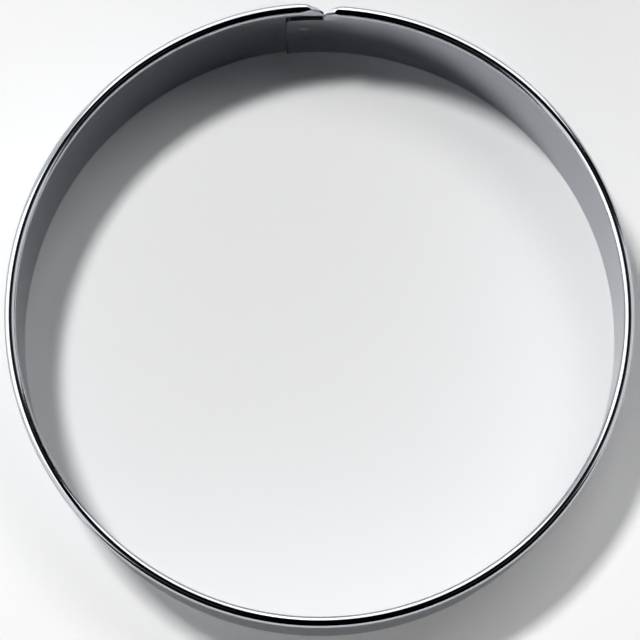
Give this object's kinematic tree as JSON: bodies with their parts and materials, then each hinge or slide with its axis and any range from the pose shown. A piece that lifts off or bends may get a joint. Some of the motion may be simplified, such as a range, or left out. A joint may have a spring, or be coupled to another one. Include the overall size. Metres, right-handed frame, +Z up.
{
  "type": "biscuit cutter",
  "caption": "Plain round biscuit cutter: a stainless steel ring with a rolled rim on top and a thin cutting edge below, closed by a spot-welded lap. Pressed through dough to cut discs.",
  "frame": {"origin": "on the ring's axis, in the plane of the cutting edge", "axes": "+Z up along the ring's axis, from the cutting edge to the rolled rim; +Y towards the seam"},
  "size_m": [0.083, 0.083, 0.025],
  "materials": {
    "stainless_strip": "satin rolled strip, brighter on the rolled rim",
    "weld_metal": "dull pressed weld mark"
  },
  "bodies": {
    "root": {"cutter_band": "stainless_strip", "spot_weld_lower": "weld_metal", "spot_weld_upper": "weld_metal"}
  },
  "joints": []
}
